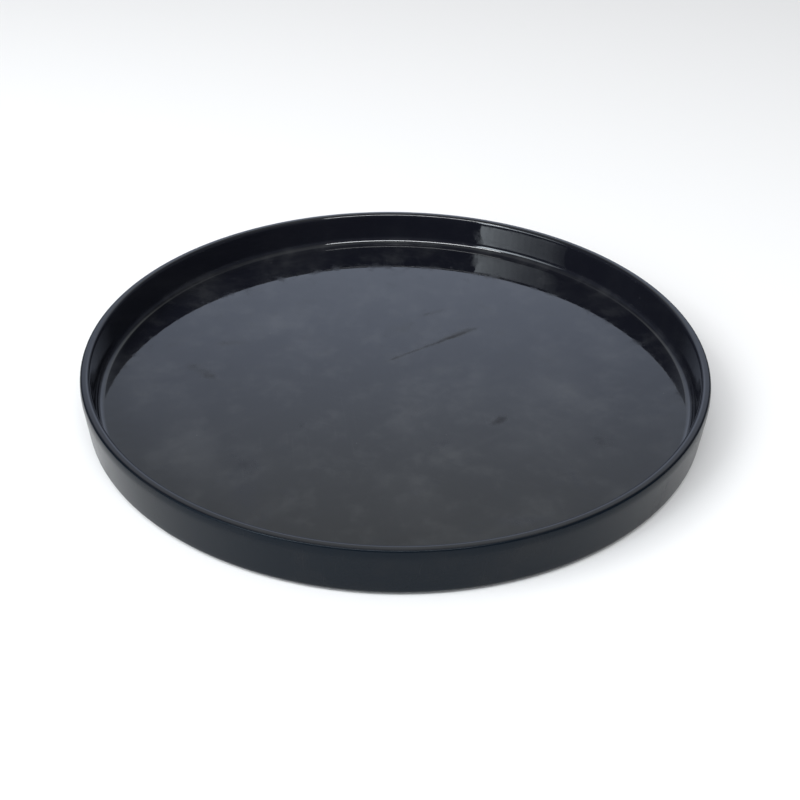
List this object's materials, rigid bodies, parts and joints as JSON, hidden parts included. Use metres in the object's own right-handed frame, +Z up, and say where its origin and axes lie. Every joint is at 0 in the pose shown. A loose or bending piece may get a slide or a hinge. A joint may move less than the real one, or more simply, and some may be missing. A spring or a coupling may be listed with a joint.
{
  "type": "round serving tray",
  "caption": "Round black high-gloss moulded tray with an upright wall, flat rim and smooth flat floor, standing on rubber anti-slip feet.",
  "frame": {"origin": "on the surface the tray stands on, on the tray's own axis", "axes": "+Z up out of the tray's well, +X and +Y level, with the four feet at 45 degrees between them"},
  "size_m": [0.3498, 0.3498, 0.0286],
  "materials": {
    "tray_moulding": "high gloss inside, slightly satin outside",
    "foot_rubber": "matt"
  },
  "bodies": {
    "root": {"tray_body": "tray_moulding", "foot_front_left": "foot_rubber", "foot_front_right": "foot_rubber", "foot_back_left": "foot_rubber", "foot_back_right": "foot_rubber"}
  },
  "joints": []
}
